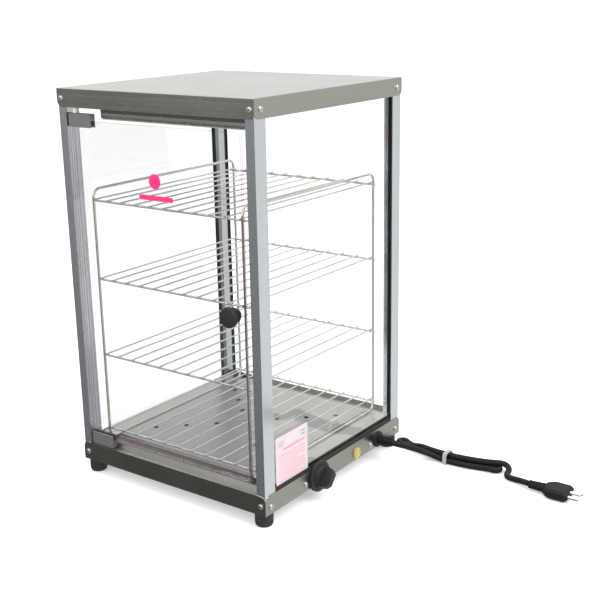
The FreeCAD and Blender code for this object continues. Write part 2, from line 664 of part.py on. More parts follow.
def cord_gland():
    """Ridged round flange with a threaded barrel through the panel."""
    flange = rod(V(HALF, GLAND_Y, GLAND_Z), V(HALF + 2.0, GLAND_Y, GLAND_Z), 25.0)
    step = rod(V(HALF + 2.0, GLAND_Y, GLAND_Z), V(HALF + 3.5, GLAND_Y, GLAND_Z), 21.0)
    barrel = rod(V(158.0, GLAND_Y, GLAND_Z), V(HALF, GLAND_Y, GLAND_Z), 14.0)
    return fuse([flange, step, barrel])


BOOT_END = HALF + 27.0


def cord_boot():
    """Tapered, ribbed strain relief around the cord."""
    x0 = HALF + 3.5
    boot = cone(V(x0, GLAND_Y, GLAND_Z), V(BOOT_END, GLAND_Y, GLAND_Z), 15.5, 11.6)
    for i in range(6):
        x = x0 + 4.0 + i * 4.2
        outer = 17.0
        inner = 15.5 - 3.9 * (x + 0.8 - x0) / (BOOT_END - x0) - 1.8
        ring = rod(V(x, GLAND_Y, GLAND_Z), V(x + 1.6, GLAND_Y, GLAND_Z), outer)
        ring = ring.cut(rod(V(x - 1, GLAND_Y, GLAND_Z), V(x + 3, GLAND_Y, GLAND_Z), inner))
        boot = boot.cut(ring)
    return boot


def gland_nut():
    """Hexagon nut inside the panel."""
    points = [(GLAND_Y + 11.0 * math.cos(math.radians(60 * k)),
               GLAND_Z + 11.0 * math.sin(math.radians(60 * k))) for k in range(6)]
    nut = plate(points, HALF - SHEET - 5.0, HALF - SHEET, "x")
    return nut.cut(rod(V(150, GLAND_Y, GLAND_Z), V(180, GLAND_Y, GLAND_Z), 14.0))


# ---------------------------------------------------------------- inside the base
ELEMENT_Z = 39.0
ELEMENT_D = 8.0


def heating_element():
    """Sheathed tube bent into four runs, with both terminals to the right."""
    rows = [-88.0, -30.0, 30.0, 88.0]
    points = [V(112, rows[0], ELEMENT_Z), V(-96, rows[0], ELEMENT_Z), V(-96, rows[1], ELEMENT_Z),
              V(70, rows[1], ELEMENT_Z), V(70, rows[2], ELEMENT_Z), V(-96, rows[2], ELEMENT_Z),
              V(-96, rows[3], ELEMENT_Z), V(112, rows[3], ELEMENT_Z)]
    sheath = tube(points, ELEMENT_D, 26.0)
    pins = [rod(V(112, y, ELEMENT_Z), V(122, y, ELEMENT_Z), 3.5) for y in (rows[0], rows[3])]
    return fuse([sheath] + pins)


def element_brackets():
    """Two channel rails that carry the element above the bottom cover."""
    pieces = []
    low = FOOT_H + SHEET
    high = ELEMENT_Z - ELEMENT_D / 2.0
    for x in (-62.0, 44.0):
        rail = box(x - 8, -104, low, x + 8, 104, high)
        pieces.append(rail.cut(box(x - 7, -105, low - 1, x + 7, 105, high - SHEET)))
    return group(pieces)


def terminal_block():
    block = box(130.0, 62.0, FOOT_H + SHEET, 146.0, 98.0, 33.0)
    for y in (68.0, 80.0, 92.0):
        block = block.cut(rod(V(138.0, y, 28.0), V(138.0, y, 40.0), 4.0))
        block = block.cut(rod(V(125.0, y, 26.0), V(134.0, y, 26.0), 3.0))
        block = block.cut(rod(V(142.0, y, 26.0), V(150.0, y, 26.0), 3.0))
    for y in (74.0, 86.0):
        block = block.cut(box(129.0, y - 0.8, 30.0, 147.0, y + 0.8, 34.0))
    return block


def sensor_bulb():
    """Thermostat bulb under the pan, with its capillary from the thermostat."""
    bulb = rod(V(126.0, -30.0, 48.5), V(126.0, 28.0, 48.5), 6.0)
    capillary = tube([V(126.0, -28.0, 48.5), V(126.0, -48.0, 48.5), V(134.0, DIAL_Y, 43.0),
                      V(151.0, DIAL_Y, 42.0)], 1.8, 6.0)
    return fuse([bulb, capillary])


def internal_wires():
    """Insulated leads between the cord, the terminals, the thermostat and the lamp."""
    d = 2.4
    runs = [
        [V(143.2, 92.0, 26.0), V(150.0, 92.0, 26.0), V(152.0, GLAND_Y, 30.0), V(157.8, GLAND_Y, GLAND_Z)],
        [V(143.2, 68.0, 26.0), V(155.0, 64.0, 23.8), V(160.0, 20.0, 23.8), V(140.0, -47.0, 26.0),
         V(141.8, -47.0, 29.0)],
        [V(141.8, -67.0, 29.0), V(134.0, -70.0, 30.0), V(130.0, -88.0, 37.0), V(123.0, -88.0, ELEMENT_Z)],
        [V(123.0, 88.0, ELEMENT_Z), V(127.0, 86.0, 37.0), V(126.0, 80.0, 27.0), V(130.5, 80.0, 26.0)],
        [V(142.8, LAMP_Y - 4, LAMP_Z), V(136.0, 48.0, 30.0), V(124.0, 58.0, 26.0), V(130.5, 68.0, 26.0)],
    ]
    return group([tube(points, d, 2.6) for points in runs])


# ---------------------------------------------------------------- feet
def foot(sx, sy):
    """Barrel-shaped rubber foot with ring grooves and a recess for its screw."""
    x = sx * (HALF - FOOT_IN)
    y = sy * (HALF - FOOT_IN)
    half_section = [(0, 0), (10.6, 0), (12.0, 1.2), (12.9, 4.6), (12.0, 5.4), (12.0, 6.4), (13.0, 7.2),
                    (13.0, 10.4), (12.1, 11.2), (12.1, 12.2), (13.0, 13.0), (12.9, 16.4), (11.4, FOOT_H),
                    (0, FOOT_H)]
    outline = [V(r, 0, z) for r, z in half_section]
    body = Part.Face(Part.makePolygon(outline + outline[:1])).revolve(V(0, 0, 0), V(0, 0, 1), 360)
    body = body.cut(Part.makeCylinder(5.0, 10.0, V(0, 0, -1.0)))
    body = body.cut(Part.makeCylinder(2.0, 20.0, V(0, 0, 5.0)))
    body.translate(V(x, y, 0))
    return body


def foot_screws():
    pieces = []
    for _, sx, sy in FEET:
        at = V(sx * (HALF - FOOT_IN), sy * (HALF - FOOT_IN), 9.0)
        pieces.append(pan_head(at, V(0, 0, -1), 8.0, 2.2, 4.0, 14.5))
    return group(pieces)


# ---------------------------------------------------------------- mains cord
CORD_LOW = CORD_D / 2.0 + 0.05
PLUG_Y = 139.5
PLUG_Z = 8.0
PLUG_X0 = 439.3
PLUG_BOOT_X0 = 417.0
START_ROUTE = [V(BOOT_END, GLAND_Y, GLAND_Z), V(212, 111.0, 31.0), V(222, 115.8, 28.8), V(230, 124.0, 24.6),
               V(236, 133.4, 19.0), V(242, 142.4, 13.2), V(250.4, 149.0, 8.6), V(260.4, 151.4, 5.6)]
TAIL_ROUTE = [V(347.4, 170.0, 12.3), V(352.4, 172.8, 12.2), V(357.6, 174.9, 11.6), V(363, 175.4, 10.2),
              V(367.7, 173.4, 8.4), V(370.6, 169.2, 6.8), V(371.6, 163.8, 5.4), V(372.4, 158.4, CORD_LOW),
              V(374.6, 153.6, CORD_LOW), V(378.6, 150.2, CORD_LOW), V(383.8, 148.8, CORD_LOW),
              V(390.4, 148.4, 4.7), V(397.6, 147.2, 5.4), V(404.6, 144.8, 6.4), V(410.6, 142.4, 7.2),
              V(PLUG_BOOT_X0 - 1.0, PLUG_Y + 0.8, PLUG_Z)]


def bowed_block(x0, x1, width, low, high, rounding):
    """Block that follows the bow of the hank, rounded along its top."""
    cx, cy, radius = HANK_BOW
    rims = []
    for r in (radius + width / 2.0, radius - width / 2.0):
        angles = [math.asin((x - cx) / radius) for x in (x0, (x0 + x1) / 2.0, x1)]
        rims.append([V(cx + r * math.sin(a), cy - r * math.cos(a), low) for a in angles])
    edges = [Part.Arc(*rims[0]).toShape(), Part.LineSegment(rims[0][2], rims[1][2]).toShape(),
             Part.Arc(*reversed(rims[1])).toShape(), Part.LineSegment(rims[1][0], rims[0][0]).toShape()]
    block = Part.Face(Part.Wire(edges)).extrude(V(0, 0, high - low))
    tops = [e for e in block.Edges if e.CenterOfMass.z > high - 0.01 and isinstance(e.Curve, Part.Circle)]
    return block.makeFillet(rounding, tops)


def cord_hank():
    """Outer shape of the three tied runs of cord."""
    hank = bowed_block(HANK_X0, HANK_X1, HANK_W, 0.05, HANK_H, 5.0)
    ends = edges_along(hank, V(0, 0, 1), lambda m: True)
    return hank.makeFillet(6.0, ends)


def cord_tie():
    """Band around the middle of the hank."""
    outer = bowed_block(TIE_X - 3.0, TIE_X + 3.0, HANK_W + 2.4, 0.02, HANK_H + 1.2, 5.0)
    return outer.cut(bowed_block(HANK_X0, HANK_X1, HANK_W, 0.05, HANK_H, 5.0))


def plug_boot():
    boot = cone(V(PLUG_BOOT_X0, PLUG_Y, PLUG_Z), V(PLUG_X0, PLUG_Y, PLUG_Z), 12.2, 14.2)
    for i in range(4):
        x = PLUG_BOOT_X0 + 2.8 + i * 4.6
        outer = rod(V(x, PLUG_Y, PLUG_Z), V(x + 2.1, PLUG_Y, PLUG_Z), 18.0)
        core = 12.2 + 2.0 * (x + 1.05 - PLUG_BOOT_X0) / (PLUG_X0 - PLUG_BOOT_X0) - 2.8
        outer = outer.cut(rod(V(x - 1, PLUG_Y, PLUG_Z), V(x + 3.1, PLUG_Y, PLUG_Z), core))
        boot = boot.cut(outer)
    return boot


def plug_body():
    """Flat six-sided plug body with bevelled faces."""
    x = PLUG_X0
    outline = [(x, -7.0), (x + 8, -15.5), (x + 14, -17.5), (x + 36, -17.5), (x + 40, -13.5),
               (x + 40, 13.5), (x + 36, 17.5), (x + 14, 17.5), (x + 8, 15.5), (x, 7.0)]
    body = plate([(a, b + PLUG_Y) for a, b in outline], 0.3, 15.7)
    faces = [e for e in body.Edges if abs(e.BoundBox.ZLength) < 0.01]
    return body.makeChamfer(3.5, faces)


def plug_pins():
    """Three round pins: two in line and the middle one set off."""
    x0 = PLUG_X0 + 40.0
    pins = []
    for y, z in ((-9.5, 0.0), (9.5, 0.0), (0.0, 3.0)):
        pin = rod(V(x0, PLUG_Y + y, PLUG_Z + z), V(x0 + 16.0, PLUG_Y + y, PLUG_Z + z), 4.8)
        tip = [e for e in pin.Edges if e.Closed and e.CenterOfMass.x > x0 + 15]
        pins.append(pin.makeFillet(1.6, tip))
    return group(pins)


# ---------------------------------------------------------------- write every node
save("base_housing", base_housing())
save("base_bottom_cover", base_bottom_cover())
save("lid_housing", lid_housing())
save("ceiling_liner", ceiling_liner())
for name, sx, sy in FEET:
    save("foot_" + name, foot(sx, sy))
    save("column_" + name, column(sx, sy))
save("foot_screws", foot_screws())
save("case_screws", group([pan_head(at, out) for at, out in SCREWS]))
for name, sx in (("left", -1), ("right", 1)):
    save("side_glass_" + name, side_glass(sx))
    save("side_seal_" + name, side_seal(sx))
    save("rack_side_frame_" + name, rack_side_frame(sx))
save("back_glass", back_glass())
save("back_seal", back_seal())
save("glass_edge_seals", glass_edge_seals())
save("floor_pan", floor_pan())
save("perforated_plate", perforated_plate())
save("plate_screws", group([pan_head(V(x, y, PLATE_TOP), V(0, 0, 1), 6.0, 1.6, 3.0, 5.0)
                            for x, y in PLATE_SCREWS]))
for number, height in enumerate(SHELF_Z, start=1):
    save("rack_shelf_%d" % number, rack_shelf(height))
save("front_top_rail", front_top_rail())

save("door_glass", door_glass())
save("door_clip_top", door_clip(*TOP_CLIP, TOP_CLIP[0] - 1, DOOR_TOP + 0.5, DOOR_TOP + 1.0, 560.0))
save("door_clip_bottom", door_clip(*BOTTOM_CLIP, DOOR_BOTTOM - 0.1, 200.0, 40.0, DOOR_BOTTOM - 0.2))
save("door_pivot_pins", door_pivot_pins())
save("hinge_bushes", hinge_bushes())
save("clip_set_screws", clip_set_screws())
save("door_knob", door_knob())
save("door_knob_fixing", door_knob_fixing())

save("thermostat_knob", thermostat_knob())
save("thermostat_shaft", thermostat_shaft())
save("thermostat_body", thermostat_body())
save("panel_screws", group([pan_head(V(HALF, y, z), V(1, 0, 0), 7.2, 1.9, 3.0, 6.0)
                            for y, z in PANEL_SCREWS]))
save("pilot_lamp", pilot_lamp())
save("pilot_lamp_body", pilot_lamp_body())
save("cord_gland", cord_gland())
save("cord_boot", cord_boot())
save("gland_nut", gland_nut())
save("heating_element", heating_element())
save("element_brackets", element_brackets())
save("terminal_block", terminal_block())
save("sensor_bulb", sensor_bulb())
save("internal_wires", internal_wires())

save("power_cord_start", cord_tube("power_cord_start", START_ROUTE))
save("power_cord_tail", cord_tube("power_cord_tail", TAIL_ROUTE))
save("cord_hank", cord_hank())
save("cord_tie", cord_tie())
save("plug_boot", plug_boot())
save("plug_body", plug_body())
save("plug_pins", plug_pins())
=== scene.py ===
import math

import bmesh
import bpy
from mathutils import Matrix, Vector


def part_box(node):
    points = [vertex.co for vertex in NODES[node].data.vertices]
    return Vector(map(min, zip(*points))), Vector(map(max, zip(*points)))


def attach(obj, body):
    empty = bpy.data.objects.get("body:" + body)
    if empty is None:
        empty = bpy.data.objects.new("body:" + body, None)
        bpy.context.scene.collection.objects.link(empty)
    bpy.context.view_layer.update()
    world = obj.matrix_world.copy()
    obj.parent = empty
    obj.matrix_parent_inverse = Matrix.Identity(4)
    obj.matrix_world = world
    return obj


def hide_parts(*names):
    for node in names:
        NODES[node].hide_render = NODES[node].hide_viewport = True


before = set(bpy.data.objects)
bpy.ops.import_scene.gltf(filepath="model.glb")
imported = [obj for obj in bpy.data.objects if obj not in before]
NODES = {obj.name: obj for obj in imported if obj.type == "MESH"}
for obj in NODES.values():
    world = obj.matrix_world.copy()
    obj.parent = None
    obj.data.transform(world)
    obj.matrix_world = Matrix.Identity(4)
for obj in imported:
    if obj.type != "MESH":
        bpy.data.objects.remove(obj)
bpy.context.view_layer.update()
scene = bpy.context.scene

MM = 0.001


# ---------------------------------------------------------------- camera
CAMERA_PLACE = (0.993, -1.208, 0.707)
CAMERA_ROUND = 36.13      # degrees from the front towards the right
CAMERA_DOWN = 16.16
CAMERA_ROLL = -1.06
LENS = 64.54
SENSOR = 36.0


def make_camera():
    """Camera at the front right, a little above the lid, looking down at the case."""
    data = bpy.data.cameras.new("camera")
    data.sensor_width = SENSOR
    data.lens = LENS
    data.clip_start = 0.05
    data.clip_end = 100.0
    cam = bpy.data.objects.new("camera", data)
    scene.collection.objects.link(cam)
    azimuth, down, roll = (math.radians(a) for a in (CAMERA_ROUND, CAMERA_DOWN, CAMERA_ROLL))
    forward = Vector((-math.sin(azimuth) * math.cos(down), math.cos(azimuth) * math.cos(down),
                      -math.sin(down)))
    right = Vector((math.cos(azimuth), math.sin(azimuth), 0.0))
    up = right.cross(forward)
    right, up = (right * math.cos(roll) + up * math.sin(roll),
                 up * math.cos(roll) - right * math.sin(roll))
    turn = Matrix((right, up, -forward)).transposed().to_4x4()
    cam.matrix_world = Matrix.Translation(CAMERA_PLACE) @ turn
    scene.camera = cam


make_camera()


# ---------------------------------------------------------------- node helpers
def put(tree, kind, inputs=None, **settings):
    """Adds a node; inputs maps socket names or numbers to values or to other sockets."""
    n = tree.nodes.new(kind)
    for key, value in settings.items():
        setattr(n, key, value)
    for key, value in (inputs or {}).items():
        socket = n.inputs[key]
        if isinstance(value, bpy.types.NodeSocket):
            tree.links.new(value, socket)
        else:
            socket.default_value = value
    return n


def rgba(colour):
    """Colour with full alpha."""
    return (colour[0], colour[1], colour[2], 1.0)


def mix_colour(tree, factor, a, b):
    """Blends two colours, each a tuple or a socket."""
    n = put(tree, "ShaderNodeMix", data_type="RGBA")
    for socket, value in ((n.inputs[0], factor), (n.inputs[6], a), (n.inputs[7], b)):
        if isinstance(value, bpy.types.NodeSocket):
            tree.links.new(value, socket)
        else:
            socket.default_value = rgba(value) if isinstance(value, tuple) else value
    return n.outputs[2]


def ranged(tree, value, a0, a1, b0, b1, smooth=False):
    """Maps a0..a1 to b0..b1 and clamps."""
    kind = "SMOOTHSTEP" if smooth else "LINEAR"
    n = put(tree, "ShaderNodeMapRange", {0: value, 1: a0, 2: a1, 3: b0, 4: b1},
            interpolation_type=kind)
    return n.outputs[0]


def maths(tree, operation, a, b=0.0, clamp=False):
    return put(tree, "ShaderNodeMath", {0: a, 1: b}, operation=operation, use_clamp=clamp).outputs[0]


def noise(tree, coords, scale, stretch=(1, 1, 1), detail=2.0, rough=0.5):
    """Noise value, finer along an axis where the stretch is larger."""
    mapped = put(tree, "ShaderNodeMapping", {"Vector": coords, "Scale": stretch})
    n = put(tree, "ShaderNodeTexNoise", {"Vector": mapped.outputs[0], "Scale": scale,
                                         "Detail": detail, "Roughness": rough})
    return n.outputs[0]


def new_material(name):
    """Empty node material with its shader and coordinates."""
    m = bpy.data.materials.new(name)
    m.use_nodes = True
    tree = m.node_tree
    shader = tree.nodes["Principled BSDF"]
    coords = put(tree, "ShaderNodeTexCoord")
    return m, tree, shader, coords


def scaled(colour, k):
    """Lighter or darker colour."""
    return tuple(min(1.0, c * k) for c in colour)


def even(k):
    """The same stretch along all three axes."""
    return (k, k, k)


def steel(name, base, roughness=0.3, stretch=(3, 3, 700), flat_stretch=(3, 700, 3), grain=0.07,
          blotch=0.05, bump=0.12, metallic=1.0):
    """Brushed sheet steel: fine lines along the sheet, faint smudges, slightly uneven gloss."""
    m, tree, shader, coords = new_material(name)
    place = coords.outputs["Object"]
    upright = noise(tree, place, 1.0, stretch, 4.0, 0.6)
    flat = noise(tree, place, 1.0, flat_stretch, 4.0, 0.6)
    facing = put(tree, "ShaderNodeSeparateXYZ", {0: coords.outputs["Normal"]}).outputs[2]
    level = maths(tree, "GREATER_THAN", maths(tree, "ABSOLUTE", facing), 0.7)
    lines = put(tree, "ShaderNodeMix", {0: level, 2: upright, 3: flat}).outputs[0]
    smudge = noise(tree, place, 9.0, (1, 1, 1), 3.0, 0.6)
    fleck = noise(tree, place, 420.0, (1, 1, 1), 1.0, 0.5)
    tone = mix_colour(tree, lines, scaled(base, 1.0 - grain), scaled(base, 1.0 + grain))
    tone = mix_colour(tree, ranged(tree, smudge, 0.35, 0.7, 0.0, blotch), tone, scaled(base, 0.55))
    tree.links.new(tone, shader.inputs["Base Color"])
    shader.inputs["Metallic"].default_value = metallic
    gloss = maths(tree, "ADD", ranged(tree, lines, 0.3, 0.7, roughness - 0.05, roughness + 0.05),
                  ranged(tree, smudge, 0.3, 0.75, -0.03, 0.07))
    gloss = maths(tree, "ADD", gloss, ranged(tree, fleck, 0.3, 0.7, -0.015, 0.015))
    tree.links.new(gloss, shader.inputs["Roughness"])
    relief = put(tree, "ShaderNodeBump", {"Strength": bump, "Distance": 0.0002, "Height": lines})
    tree.links.new(relief.outputs[0], shader.inputs["Normal"])
    return m


def paint_shade_band(m, axis, low, high, colour, soft=0.0006):
    """Paints shade onto a steel: the given darker colour, with less metal, between two places along one
    axis of the part.
    """
    tree = m.node_tree
    shader = tree.nodes["Principled BSDF"]
    coords = next(n for n in tree.nodes if n.bl_idname == "ShaderNodeTexCoord")
    along = put(tree, "ShaderNodeSeparateXYZ", {0: coords.outputs["Object"]}).outputs[axis]
    start = ranged(tree, along, low - soft, low + soft, 0.0, 1.0)
    end = ranged(tree, along, high - soft, high + soft, 1.0, 0.0)
    share = maths(tree, "MULTIPLY", start, end)
    socket = shader.inputs["Base Color"]
    tone = mix_colour(tree, share, socket.links[0].from_socket, colour)
    tree.links.new(tone, socket)
    metal = shader.inputs["Metallic"]
    tree.links.new(ranged(tree, share, 0.0, 1.0, metal.default_value, 0.3), metal)
    return m


def moulded(name, base, roughness=0.5, texture=900.0, bump=0.15, spread=0.12, specular=0.5, coat=0.0):
    """Moulded plastic or rubber: fine surface texture, slight colour and gloss variation."""
    m, tree, shader, coords = new_material(name)
    place = coords.outputs["Object"]
    fine = noise(tree, place, texture, (1, 1, 1), 2.0, 0.6)
    broad = noise(tree, place, 35.0, (1, 1, 1), 3.0, 0.55)
    tone = mix_colour(tree, ranged(tree, broad, 0.3, 0.7, 0.0, 1.0),
                      scaled(base, 1.0 - spread), scaled(base, 1.0 + spread))
    tone = mix_colour(tree, ranged(tree, fine, 0.55, 0.75, 0.0, 0.25), tone, scaled(base, 1.8))
    tree.links.new(tone, shader.inputs["Base Color"])
    tree.links.new(ranged(tree, broad, 0.3, 0.7, roughness - 0.06, roughness + 0.08),
                   shader.inputs["Roughness"])
    shader.inputs["Specular IOR Level"].default_value = specular
    shader.inputs["Coat Weight"].default_value = coat
    relief = put(tree, "ShaderNodeBump", {"Strength": bump, "Distance": 0.0003, "Height": fine})
    tree.links.new(relief.outputs[0], shader.inputs["Normal"])
    return m


GLASS_TINT = (0.996, 0.999, 0.998)
EDGE_TINT = (0.93, 0.90, 0.93)
EDGE_LINE = 0.0009        # width of the tinted line along each arris
MIRROR_SHARE = 0.22


def pane(name, thin_axis, sheet, edge_tint):
    """Clear sheet glass; the arrises of its ground edges are tinted, the rest of an edge faintly."""
    middle, thickness = sheet
    m, tree, shader, coords = new_material(name)
    tree.nodes.remove(shader)
    parts = put(tree, "ShaderNodeSeparateXYZ", {0: coords.outputs["Normal"]})
    across = maths(tree, "ABSOLUTE", parts.outputs[thin_axis])
    edge = maths(tree, "LESS_THAN", across, 0.5)
    place = put(tree, "ShaderNodeSeparateXYZ", {0: coords.outputs["Object"]}).outputs[thin_axis]
    off_middle = maths(tree, "ABSOLUTE", maths(tree, "SUBTRACT", maths(tree, "ABSOLUTE", place), middle))
    arris = maths(tree, "GREATER_THAN", off_middle, thickness / 2.0 - EDGE_LINE)
    streak = noise(tree, coords.outputs["Object"], 26.0, (1, 1, 0.25), 2.0, 0.5)
    face_tint = mix_colour(tree, ranged(tree, streak, 0.35, 0.75, 0.0, 0.6), GLASS_TINT,
                           scaled(GLASS_TINT, 0.996))
    ground = mix_colour(tree, arris, EDGE_TINT, edge_tint)
    tint = mix_colour(tree, edge, face_tint, ground)
    clear = put(tree, "ShaderNodeBsdfTransparent", {"Color": tint})
    gloss = put(tree, "ShaderNodeBsdfGlossy", {"Color": (1, 1, 1, 1), "Roughness": 0.02})
    mirror = put(tree, "ShaderNodeFresnel", {"IOR": 1.45}).outputs[0]
    share = maths(tree, "MULTIPLY", mirror, MIRROR_SHARE)
    both = put(tree, "ShaderNodeMixShader", {0: share, 1: clear.outputs[0], 2: gloss.outputs[0]})
    out = tree.nodes["Material Output"]
    tree.links.new(both.outputs[0], out.inputs["Surface"])
    return m


# ---------------------------------------------------------------- materials
CASE = steel("case_steel", (0.375, 0.375, 0.358), 0.27, grain=0.02, blotch=0.03, bump=0.03)
LID = steel("lid_steel", (0.43, 0.425, 0.405), 0.25, grain=0.02, blotch=0.03, bump=0.03)
COLUMN = steel("column_steel", (0.69, 0.725, 0.79), 0.16, (500, 500, 3), (500, 500, 3),
               grain=0.04, blotch=0.03, bump=0.04, metallic=0.94)
FLOOR_STEEL = steel("floor_steel", (0.52, 0.52, 0.50), 0.3, (3, 3, 500), (260, 3, 3),
                    grain=0.08, blotch=0.10, bump=0.12)
PLATE_STEEL = steel("plate_steel", (0.47, 0.47, 0.46), 0.33, (3, 3, 500), (240, 3, 3),
                    grain=0.09, blotch=0.12, bump=0.14)
ZINC = steel("zinc_sheet", (0.48, 0.49, 0.50), 0.42, even(40), even(40), 0.12, 0.15, 0.05)
RAIL = steel("rail_steel", (0.56, 0.56, 0.52), 0.28)
WIRE = steel("bright_wire", (0.72, 0.72, 0.70), 0.2, even(60), even(60), 0.04, 0.04, 0.03)
SCREW = steel("screw_steel", (0.70, 0.69, 0.66), 0.28, even(300), even(300), 0.05, 0.05, 0.05)
CLIP = steel("clip_metal", (0.25, 0.245, 0.24), 0.45, even(60), even(60), 0.05, 0.06, 0.06, 0.7)
BRASS = steel("brass", (0.66, 0.50, 0.25), 0.3, even(200), even(200), 0.06, 0.08, 0.05)
SEAL = moulded("seal_rubber", (0.012, 0.012, 0.011), 0.55, 700.0, 0.2)
FOOT = moulded("foot_rubber", (0.020, 0.020, 0.020), 0.55, 900.0, 0.3, 0.12, 0.4)
PLASTIC = moulded("black_plastic", (0.018, 0.018, 0.019), 0.5, 1100.0, 0.2, 0.12, 0.35)
NYLON = moulded("nylon", (0.62, 0.61, 0.56), 0.4, 500.0, 0.1, 0.05)
CORD = moulded("cord_rubber", (0.010, 0.010, 0.010), 0.58, 800.0, 0.18, 0.12, 0.22)
LEAD = moulded("lead_insulation", (0.35, 0.05, 0.03), 0.4, 500.0, 0.1)
AMBER = moulded("amber_lens", (0.46, 0.34, 0.11), 0.25, 300.0, 0.05, 0.1, 0.5, 0.5)
TIE = moulded("tie_plastic", (0.36, 0.36, 0.35), 0.3, 400.0, 0.1, 0.06)
# Distance of a sheet's middle from the centre of the case, and its thickness.
DOOR_SHEET = (0.167, 0.005)
WALL_SHEET = (0.170, 0.004)
PINK_EDGE = (0.55, 0.30, 0.42)
GREEN_EDGE = (0.45, 0.62, 0.58)
DOOR_GLASS = pane("door_glass", 1, DOOR_SHEET, PINK_EDGE)
SIDE_GLASS = pane("side_glass", 0, WALL_SHEET, GREEN_EDGE)
BACK_GLASS = pane("back_glass", 1, WALL_SHEET, GREEN_EDGE)

# Painted shade: a dark band along the top of the rail, under the lid's lip, and a dark strip along the
# front of the floor, by the bottom of the door.
RAIL_PAINTED_SHADE = (0.5462, 0.5567)
FLOOR_PAINTED_SHADE = (-0.1606, -0.1420)
# Painted shade along the top of the rail, under the lid's lip.
paint_shade_band(RAIL, 2, *RAIL_PAINTED_SHADE, (0.085, 0.080, 0.070))
# Painted shade along the front of the floor, by the bottom of the door.
paint_shade_band(FLOOR_STEEL, 1, *FLOOR_PAINTED_SHADE, (0.075, 0.045, 0.045), 0.0004)

BY_NODE = {
    CASE: ["base_housing"],
    LID: ["lid_housing"],
    RAIL: ["front_top_rail"],
    ZINC: ["base_bottom_cover", "ceiling_liner", "element_brackets", "heating_element"],
    COLUMN: ["column_front_left", "column_front_right", "column_back_left", "column_back_right"],
    FLOOR_STEEL: ["floor_pan"],
    PLATE_STEEL: ["perforated_plate"],
    WIRE: ["rack_side_frame_left", "rack_side_frame_right", "rack_shelf_1", "rack_shelf_2",
           "rack_shelf_3", "rack_shelf_4"],
    SCREW: ["foot_screws", "plate_screws", "clip_set_screws", "case_screws", "panel_screws",
            "door_pivot_pins", "door_knob_fixing", "thermostat_shaft", "plug_pins"],
    CLIP: ["door_clip_top", "door_clip_bottom"],
    BRASS: ["sensor_bulb"],
    SEAL: ["side_seal_left", "side_seal_right", "back_seal", "glass_edge_seals"],
    FOOT: ["foot_front_left", "foot_front_right", "foot_back_left", "foot_back_right"],
    PLASTIC: ["door_knob", "thermostat_knob", "thermostat_body", "pilot_lamp_body", "cord_gland",
              "gland_nut", "terminal_block"],
    NYLON: ["hinge_bushes"],
    CORD: ["cord_boot", "plug_boot", "plug_body"],
    LEAD: ["internal_wires"],
    AMBER: ["pilot_lamp"],
    TIE: ["cord_tie"],
    DOOR_GLASS: ["door_glass"],
    SIDE_GLASS: ["side_glass_left", "side_glass_right"],
    BACK_GLASS: ["back_glass"],
}
for finish, names in BY_NODE.items():
    for name in names:
        node = NODES[name]
        for place in node.material_slots:
            place.material = finish


# ---------------------------------------------------------------- power cord
CORD_D = 9.0
HANK_CX, HANK_CY, HANK_R = 278.5, 383.2, 228.2
CORD_LOW = CORD_D / 2.0 + 0.05
TOP_ROW = 12.3
SIDE_BY_SIDE = CORD_D / 2.0          # offset of two touching runs from the middle line
NEAR_START, RIGHT_END, LEFT_END = 274.0, 342.0, 190.0
CLIMB_END, OVER_START, OVER_END = 228.0, 240.0, 338.0
RIGHT_REACH, LEFT_REACH = 14.5, 15.0
FOLD_HALF_WIDTH = 6.6
FOLD_SHAPE = [(0.35, -0.95), (0.70, -0.98), (0.95, -0.60), (1.02, 0.0), (0.95, 0.60),
              (0.70, 0.98), (0.35, 0.95)]    # shares of the reach and of the half width
START = [(202, 110, 31.5), (212, 111.0, 31.0), (222, 115.8, 28.8), (230, 124.0, 24.6),
         (236, 133.4, 19.0), (242, 142.4, 13.2), (250.4, 149.0, 8.6), (260.4, 151.4, 5.6)]
TAIL = [(347.4, 170.0, TOP_ROW), (352.4, 172.8, 12.2), (357.6, 174.9, 11.6), (363, 175.4, 10.2),
        (367.7, 173.4, 8.4), (370.6, 169.2, 6.8), (371.6, 163.8, 5.4), (372.4, 158.4, CORD_LOW),
        (374.6, 153.6, CORD_LOW), (378.6, 150.2, CORD_LOW), (383.8, 148.8, CORD_LOW),
        (390.4, 148.4, 4.7), (397.6, 147.2, 5.4), (404.6, 144.8, 6.4), (410.6, 142.4, 7.2),
        (416, 140.3, 8.0)]


def on_bow(x, offset, z):
    """Point of the bowed hank at x, offset from its middle line (positive to the far side)."""
    turn = math.asin((x - HANK_CX) / HANK_R)
    r = HANK_R - offset
    return Vector((HANK_CX + r * math.sin(turn), HANK_CY - r * math.cos(turn), z))


def strand(x0, x1, ends, heights, count):
    """One run of the hank, between two offsets and two heights, wandering a little."""
    points = []
    for i in range(count):
        share = i / (count - 1)
        eased = share * share * (3.0 - 2.0 * share)
        x = x0 + (x1 - x0) * share
        wander = 0.3 * math.sin(x * 0.055 + ends[0])
        points.append(on_bow(x, ends[0] + (ends[1] - ends[0]) * eased + wander,
                             heights[0] + (heights[1] - heights[0]) * eased))
    return points


def fold(a, b, reach, sign):
    """Turn from the end of one run back to the start of the next."""
    middle = (a + b) / 2.0
    side = (b - a).normalized()
    out = (on_bow(middle.x + sign, 0, 0) - on_bow(middle.x, 0, 0)).normalized()
    width = max((b - a).length / 2.0, FOLD_HALF_WIDTH)
    points = []
    for along, across in FOLD_SHAPE:
        points.append(middle + out * reach * along + side * width * across)
    return points


